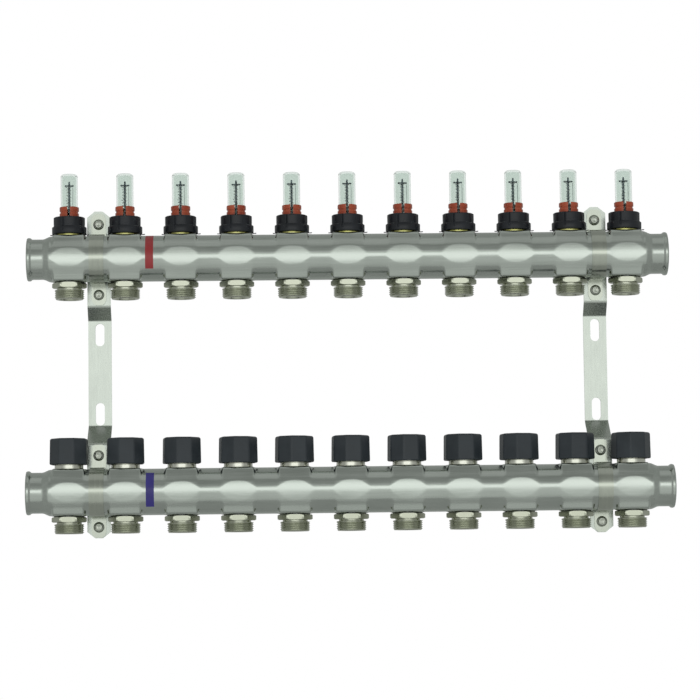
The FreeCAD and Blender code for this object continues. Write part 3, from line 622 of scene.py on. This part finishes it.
def cap_shape(turn):
    """Octagonal hand cap: chamfered corners, dished top, hollow below."""
    shape = Shape()

    def level(z, inset, taper):
        def radius(t):
            flat = polygon_radius(8, CAP_FLAT - taper, t, turn)
            return min(flat, CAP_ROUND - taper) - inset
        return ring(radius, z, CAP_STEPS)

    rows = [level(CAP_LOW, CAP_LIP, 0.0), level(CAP_LOW + 0.25, CAP_LIP / 2, 0.0)]
    rows.append(level(CAP_LOW + CAP_LIP, 0.0, 0.0))
    rows.append(level((CAP_LOW + CAP_TOP) / 2, 0.0, 0.18))
    for i in range(6):
        t = math.pi / 2 * i / 5
        down = CAP_CORNER - CAP_CORNER * math.sin(t)
        rows.append(level(CAP_TOP - down, CAP_CORNER - CAP_CORNER * math.cos(t), 0.35))
    dish = [(12.6, CAP_TOP), (12.0, CAP_TOP - 0.6), (6.0, CAP_TOP - CAP_DISH), (0.02, CAP_TOP - CAP_DISH)]
    rows += [ring(r, z, CAP_STEPS) for r, z in dish]
    shape.grid(rows)
    inside = [(CAP_BORE, CAP_LOW), (CAP_BORE, CAP_ROOF - CAP_ROOF_RISE)]
    inside += [(CAP_BORE - CAP_ROOF_CHAMFER, CAP_ROOF), (0.02, CAP_ROOF)]
    shape.grid([ring(r, z, CAP_STEPS) for r, z in inside], flip=True)
    shape.grid([level(CAP_LOW, CAP_LIP, 0.0), ring(CAP_BORE, CAP_LOW, CAP_STEPS)], flip=True)
    return shape


# ------------------------------------------------------------- flow-meter collars
COLLAR_LOW = 22.5
COLLAR_TOP = 37.8
SKIRT_R = 15.5
SKIRT_TOP = 28.9
TIER_R = 14.05
COLLAR_BORE = 9.6
GROOVE_TURN = -109.6
GROOVE_DEPTH = 0.85
GROOVE_LOW = 25.0
GROOVE_HALF = 3.2  # degrees
PANEL_SPAN = 44  # degrees
PANEL_LIFT = 0.35
SEAM_Z = 30.6
SEAM_DEPTH = 0.25
COLLAR_CORNER = 0.9
COLLAR_STEPS = 240


def collar_shape():
    """Two-tier adjusting collar with four finger grooves, raised panels and a seam."""
    shape = Shape()

    def outline(z, base):
        def radius(t):
            from_groove = math.degrees(t) - GROOVE_TURN
            place = (from_groove + 45) % 90 - 45
            cut = GROOVE_DEPTH * max(0.0, 1 - (abs(place) / GROOVE_HALF) ** 4)
            depth = cut if z > GROOVE_LOW else 0.0
            panel = (from_groove % 90) < PANEL_SPAN and z < COLLAR_TOP - 0.5
            lift = 0.0 if panel or z < SKIRT_TOP else PANEL_LIFT
            seam = SEAM_DEPTH if panel and abs(z - SEAM_Z) < 0.35 else 0.0
            return base - depth - lift - seam
        return ring(radius, z, COLLAR_STEPS)

    rows = [ring(COLLAR_BORE, COLLAR_LOW, COLLAR_STEPS), outline(COLLAR_LOW, SKIRT_R - 0.5)]
    rows += [outline(COLLAR_LOW + 0.15, SKIRT_R - 0.15), outline(COLLAR_LOW + 0.5, SKIRT_R)]
    rows += [outline(z, SKIRT_R) for z in (GROOVE_LOW - 0.1, GROOVE_LOW + 0.1, SKIRT_TOP - 0.7)]
    rows += [outline(SKIRT_TOP - 0.2, SKIRT_R - 0.25), outline(SKIRT_TOP + 0.1, TIER_R + 0.25)]
    rows += [outline(SKIRT_TOP + 0.45, TIER_R)]
    rows += [outline(z, TIER_R) for z in (SEAM_Z - 0.4, SEAM_Z - 0.3, SEAM_Z + 0.3, SEAM_Z + 0.4)]
    rows += [outline(z, TIER_R) for z in (34.0, COLLAR_TOP - 1.3, COLLAR_TOP - COLLAR_CORNER)]
    for i in range(1, 5):
        t = math.pi / 2 * i / 4
        down = COLLAR_CORNER - COLLAR_CORNER * math.sin(t)
        rows.append(outline(COLLAR_TOP - down, TIER_R - COLLAR_CORNER + COLLAR_CORNER * math.cos(t)))
    rows.append(ring(COLLAR_BORE + 0.3, COLLAR_TOP, COLLAR_STEPS))
    rows.append(ring(COLLAR_BORE, COLLAR_TOP - 0.3, COLLAR_STEPS))
    shape.grid(rows, close_rows=True)
    return shape


def tube_along(shape, path, radius, steps=10):
    """A round wire along a list of points, with flat ends."""
    rows = []
    for i, point in enumerate(path):
        ahead = Vector(path[min(i + 1, len(path) - 1)]) - Vector(path[max(i - 1, 0)])
        ahead.normalize()
        side = ahead.cross(Vector((0, 0, 1)))
        if side.length < 1e-3:
            side = Vector((1, 0, 0))
        side.normalize()
        up = side.cross(ahead)
        turns = [TURN * k / steps for k in range(steps)]
        spokes = [side * math.cos(t) + up * math.sin(t) for t in turns]
        rows.append([tuple(Vector(point) + spoke * radius) for spoke in spokes])
    shape.grid(rows)
    shape.fan(rows[0], path[0])
    shape.fan(rows[-1], path[-1], flip=True)
    return shape


CLIP_R = 14.2
CLIP_Z = 22.05
CLIP_REACH = 18.0
LOOP_R = 1.6
WIRE_R = 0.42


def clip_shape():
    """Wire clip under the collar: round the back, ending in a small loop at each side."""
    path = []
    for i in range(13):
        t = math.radians(200 - 14 * i)
        path.append((-CLIP_REACH + 2.0 + LOOP_R * math.cos(t - 1.2), LOOP_R * math.sin(t - 1.2), CLIP_Z))
    for i in range(31):
        t = math.radians(172 - 164 * i / 30)
        path.append((CLIP_R * math.cos(t), CLIP_R * math.sin(t), CLIP_Z))
    for i in range(13):
        t = math.radians(160 - 14 * i)
        path.append((CLIP_REACH - 2.0 + LOOP_R * math.cos(t), -1.0 + LOOP_R * math.sin(t), CLIP_Z))
    return tube_along(Shape(), path, WIRE_R)


# ------------------------------------------------------------------ sight glass
GLASS_R = 7.6
GLASS_BORE = 6.2
GLASS_LOW = 33.9
GLASS_TOP = 76.8
GLASS_CROWN = 2.4
GLASS_ROOF = 1.6
GLASS_STEPS = 64
SCALE_LOW = 40.0
SCALE_TOP = 64.0
SCALE_MARKS = 11


def glass_shape():
    """Clear tube, closed at the top with a rounded crown."""
    crown = GLASS_TOP - GLASS_CROWN
    profile = [(GLASS_BORE, GLASS_LOW), (GLASS_R, GLASS_LOW), (GLASS_R, crown)]
    profile += arc(GLASS_R - GLASS_CROWN, crown, GLASS_CROWN, 10, 80, 6)
    profile += [(GLASS_R - GLASS_CROWN, GLASS_TOP), (0.02, GLASS_TOP)]
    roof = GLASS_TOP - GLASS_ROOF
    inside = [(GLASS_BORE, GLASS_LOW), (GLASS_BORE, roof - GLASS_ROOF)]
    inside += arc(GLASS_BORE - GLASS_ROOF, roof - GLASS_ROOF, GLASS_ROOF, 10, 80, 5)
    inside += [(GLASS_BORE - GLASS_ROOF, roof), (0.02, roof)]
    shape = Shape()
    lathe(shape, profile, GLASS_STEPS, closed=False)
    shape.grid([ring(r, z, GLASS_STEPS) for r, z in inside], flip=True)
    return shape


def scale_shape():
    """Scale inside the glass, clear of the disc: graduation marks and one thin line."""
    shape = Shape()

    def bar_box(x0, x1, y0, y1, z0, z1):
        corners = [(x0, y0), (x1, y0), (x1, y1), (x0, y1)]
        rows = [[(x, y, z) for x, y in corners] for z in (z0, z1)]
        shape.grid(rows)
        base = len(shape.verts)
        shape.verts.extend(rows[0] + rows[1])
        shape.faces.append((base + 3, base + 2, base + 1, base))
        shape.faces.append((base + 4, base + 5, base + 6, base + 7))
        shape.slots += [shape.slot, shape.slot]

    for i in range(SCALE_MARKS):
        z = SCALE_LOW + (SCALE_TOP - SCALE_LOW) * i / (SCALE_MARKS - 1)
        reach = 2.6 if i % 5 == 0 else 2.0
        bar_box(-reach, -1.25, -5.5, -5.2, z, z + 0.55)
    bar_box(3.3, 3.6, -4.9, -4.6, SCALE_LOW - 1.5, SCALE_TOP + 0.5)
    return shape


# ---------------------------------------------------------------- flow indicator
ROD_R = 1.0
ROD_LOW = -14.0
ROD_TOP = 70.3
DISC_Z = 66.4
DISC_R = 4.3
BAFFLE_R = 6.4
LUG_OUT = 3.15
LUG_STEPS = 16


def indicator_shape():
    """Rod with its reading disc and side lugs, and the baffle in the stream."""
    profile = [(0.02, ROD_LOW - 1.2), (BAFFLE_R - 0.6, ROD_LOW - 1.2), (BAFFLE_R, ROD_LOW - 0.6)]
    profile += [(BAFFLE_R, ROD_LOW + 0.4), (BAFFLE_R - 0.5, ROD_LOW + 0.9)]
    profile += [(2.0, ROD_LOW + 1.4), (ROD_R, ROD_LOW + 3.5)]
    profile += [(ROD_R, DISC_Z - 0.5), (1.7, DISC_Z - 0.4), (DISC_R - 0.3, DISC_Z - 0.25)]
    profile += arc(DISC_R - 0.3, DISC_Z, 0.25, -60, 60, 3)
    profile += [(DISC_R - 0.3, DISC_Z + 0.25), (1.7, DISC_Z + 0.4), (ROD_R * 0.9, DISC_Z + 0.6)]
    profile += [(ROD_R * 0.8, ROD_TOP - 0.6), (ROD_R * 0.5, ROD_TOP - 0.1), (0.02, ROD_TOP)]
    shape = Shape()
    lathe(shape, profile, 32, closed=False)
    lug = [(0.02, -0.8), (0.7, -0.6), (0.95, -0.1), (0.95, 0.3), (0.7, 0.75), (0.02, 0.9)]
    for side in (-1, 1):
        rows = []
        for r, z in lug:
            rows.append([(side * LUG_OUT + a, b, c) for a, b, c in ring(r, DISC_Z + z, LUG_STEPS)])
        shape.grid(rows)
    return shape


# ---------------------------------------------------------------- put it together
# How far each hand cap stands turned at rest
CAP_TURNS = [math.radians(a) for a in (-4, 6, 9, 12, 14, 8, 11, 7, 12, 9, 15)]

bar("supply_bar_skin", "supply_bar", SUPPLY, [MATS["stainless"]])
bar("return_bar_skin", "return_bar", RETURN, [MATS["stainless"]])

copies(nipple_shape(), PORT_PLACES).piece(
    "outlet_nipples_threaded", "manifold", [MATS["nickel"]], "nickel", ["outlet_nipples"], smooth=38
)

copies(screw_shape(), strap_places()).piece(
    "clamp_screw_heads", "manifold", [MATS["screw_steel"]], "screw_steel", ["clamp_screws"], smooth=40
)

for n, x in zip(PORTS, PORT_X):
    tag = "%02d" % n
    supply_place = (x, *SUPPLY)
    return_place = (x, *RETURN)
    cap_shape(CAP_TURNS[n - 1]).piece(
        "hand_cap_moulded_" + tag,
        "cap_" + tag,
        [MATS["cap_plastic"]],
        "cap_plastic",
        ["hand_cap_" + tag],
        smooth=14,
        move=return_place,
    )
    collar_shape().piece(
        "collar_moulded_" + tag,
        "collar_" + tag,
        [MATS["black_plastic"]],
        "black_plastic",
        ["meter_collar_" + tag],
        smooth=28,
        move=supply_place,
    )
    clip_shape().piece(
        "collar_clip_" + tag,
        "collar_" + tag,
        [MATS["black_plastic"]],
        "black_plastic",
        smooth=60,
        move=supply_place,
    )
    indicator_shape().piece(
        "indicator_rod_" + tag,
        "indicator_" + tag,
        [MATS["indicator_plastic"]],
        "indicator_plastic",
        ["flow_indicator_" + tag],
        smooth=40,
        move=supply_place,
    )

SUPPLY_PLACES = [(x, *SUPPLY) for x in PORT_X]
copies(glass_shape(), SUPPLY_PLACES).piece(
    "sight_glass_tubes", "manifold", [MATS["sight_glass"]], "sight_glass", ["sight_glasses"], smooth=50
)
copies(scale_shape(), SUPPLY_PLACES).piece(
    "reading_scales", "manifold", [MATS["indicator_plastic"]], "indicator_plastic", smooth=20
)

# ------------------------------------------------------------------- stage
low, high = [Vector(v) for v in cad_box]
centre = (low + high) / 2


def backdrop_material(name):
    """White to the camera and through glass, a pale matt floor to every other ray."""
    look = Look(name)
    look.set(Base_Color=(0.86, 0.86, 0.86, 1.0), Roughness=0.9)
    grain = look.noise(14, 3.0, 0.5)
    look.set(Roughness=look.level(grain, 0.8, 0.95, 0.3, 0.7))
    glow = look.node("Emission")
    glow.inputs["Color"].default_value = (1, 1, 1, 1)
    rays = look.node("LightPath")
    see = look.math("MAXIMUM", rays.outputs["Is Camera Ray"], rays.outputs["Is Transmission Ray"])
    glow.inputs["Strength"].default_value = 1.0
    blend = look.node("MixShader")
    look.join(see, blend.inputs["Fac"])
    look.join(look.bsdf.outputs[0], blend.inputs[1])
    look.join(glow.outputs[0], blend.inputs[2])
    look.join(blend.outputs[0], look.out.inputs["Surface"])
    return look.mat


def sheet(name, corners, mat):
    """A flat four-cornered piece of the stage."""
    mesh = bpy.data.meshes.new(name)
    mesh.from_pydata(corners, [], [(0, 1, 2, 3)])
    obj = bpy.data.objects.new(name, mesh)
    bpy.context.scene.collection.objects.link(obj)
    mesh.materials.append(mat)
    return obj


FLOOR_DROP = 0.35
FLOOR_HALF = (0.6, 0.35)
floor_z = low.z - FLOOR_DROP
floor_corners = [(-1, -1), (1, -1), (1, 1), (-1, 1)]
sheet(
    "floor",
    [(centre.x + a * FLOOR_HALF[0], centre.y + b * FLOOR_HALF[1], floor_z) for a, b in floor_corners],
    backdrop_material("floor_white"),
)

# The room in reflections: brightness by height above the horizon, in degrees
ROOM_FRONT = [(-90, 0.16), (-80, 0.32), (-65, 0.46), (-50, 0.56), (-35, 0.65), (-18, 0.66)]
ROOM_FRONT += [(-10, 0.72), (-5, 0.82), (13, 0.88), (18, 0.68), (23, 0.45), (29, 0.37)]
ROOM_FRONT += [(48, 0.31), (78, 0.36), (90, 0.36)]
ROOM_SIDE = [(-90, 0.22), (-50, 0.38), (0, 0.42), (30, 0.4), (90, 0.36)]
ROOM_TINT = (0.97, 1.0, 0.97)
FRONT_EDGES = (48.0, 30.0)


class Room:
    """The world: white to the camera and through glass, a soft studio to everything else."""

    def __init__(self, name):
        self.world = bpy.data.worlds.new(name)
        self.world.use_nodes = True
        self.tree = self.world.node_tree
        self.tree.nodes.clear()

    node = Look.node
    join = Look.join
    put = Look.put
    math = Look.math
    mix = Look.mix
    ramp = Look.ramp
    level = Look.level

    def bands(self, height, table):
        """Light by height: a ramp over the sine of the angle above the horizon."""
        top = max(value for _, value in table)
        stops = []
        for angle, value in table:
            share = value / top
            place = (math.sin(math.radians(angle)) + 1) / 2
            stops.append((place, tuple(share * tint for tint in ROOM_TINT)))
        colour = self.ramp(height, stops)
        scale = self.node("VectorMath", operation="SCALE")
        self.join(colour, scale.inputs[0])
        scale.inputs["Scale"].default_value = top
        return scale.outputs[0]

    def build(self):
        src = self.node("TexCoord")
        parts = self.node("SeparateXYZ")
        self.join(src.outputs["Generated"], parts.inputs[0])
        x, y, z = parts.outputs
        height = self.level(z, 0.0, 1.0, -1.0, 1.0)
        across = self.math("ADD", self.math("MULTIPLY", x, x), self.math("MULTIPLY", y, y))
        flat = self.math("SQRT", across)
        facing = self.math("DIVIDE", self.math("MULTIPLY", y, -1.0), self.math("MAXIMUM", flat, 0.001))
        wide, narrow = (math.cos(math.radians(angle)) for angle in FRONT_EDGES)
        front = self.level(facing, 0.0, 1.0, wide, narrow)
        room = self.node("Background")
        self.join(
            self.mix(front, self.bands(height, ROOM_SIDE), self.bands(height, ROOM_FRONT)),
            room.inputs["Color"],
        )
        room.inputs["Strength"].default_value = 1.0
        white = self.node("Background")
        white.inputs["Color"].default_value = (1, 1, 1, 1)
        white.inputs["Strength"].default_value = 1.0
        rays = self.node("LightPath")
        see = self.math("MAXIMUM", rays.outputs["Is Camera Ray"], rays.outputs["Is Transmission Ray"])
        blend = self.node("MixShader")
        self.join(see, blend.inputs["Fac"])
        self.join(room.outputs[0], blend.inputs[1])
        self.join(white.outputs[0], blend.inputs[2])
        out = self.node("OutputWorld")
        self.join(blend.outputs[0], out.inputs["Surface"])
        return self.world


bpy.context.scene.world = Room("soft_room").build()


def lamp(name, place, target, size, power, size_y):
    data = bpy.data.lights.new(name, "AREA")
    data.shape = "RECTANGLE"
    data.size = size
    data.size_y = size_y
    data.energy = power
    obj = bpy.data.objects.new(name, data)
    bpy.context.scene.collection.objects.link(obj)
    obj.location = place
    obj.rotation_euler = (Vector(target) - Vector(place)).to_track_quat("-Z", "Y").to_euler()
    return obj


def lamp_at(name, turn, rise, distance, size, size_y, power):
    """A soft box aimed at the part: turn from the front and rise above the level, in degrees."""
    turn, rise = math.radians(turn), math.radians(rise)
    away = Vector((math.sin(turn) * math.cos(rise), -math.cos(turn) * math.cos(rise), math.sin(rise)))
    return lamp(name, centre + away * distance, centre, size, power, size_y)


lamp_at("front_box", 0, 5.0, 3.0, 3.0, 0.75, 4.8)
lamp_at("top_soft", 0, 75, 2.0, 2.0, 1.4, 1.4)

# ------------------------------------------------------------------ camera
CAMERA_BACK = 2.5
CAMERA_X = 0.1635
CAMERA_Z = -0.204
CAMERA_YAW = -0.0249
CAMERA_PITCH = 0.0880
CAMERA_ROLL = 0.0126
# Width of the view at the bars, in metres
VIEW_WIDTH = 0.6239
SENSOR = 36.0
camera_data = bpy.data.cameras.new("camera")
camera = bpy.data.objects.new("camera", camera_data)
bpy.context.scene.collection.objects.link(camera)
bpy.context.scene.camera = camera
bars_y = (SUPPLY[0] + RETURN[0]) / 2 * MM
camera.location = (CAMERA_X, bars_y - CAMERA_BACK, CAMERA_Z)
look_along_y = Matrix.Rotation(math.pi / 2, 3, "X")
turn_z = Matrix.Rotation(CAMERA_YAW, 3, "Z")
turn_x = Matrix.Rotation(CAMERA_PITCH, 3, "X")
turn_y = Matrix.Rotation(CAMERA_ROLL, 3, "Y")
camera.rotation_euler = (turn_z @ turn_x @ turn_y @ look_along_y).to_euler()
camera_data.sensor_width = SENSOR
camera_data.lens = SENSOR * CAMERA_BACK / VIEW_WIDTH
camera_data.clip_start = 0.01
camera_data.clip_end = 50.0

bpy.context.scene.view_settings.view_transform = "Standard"
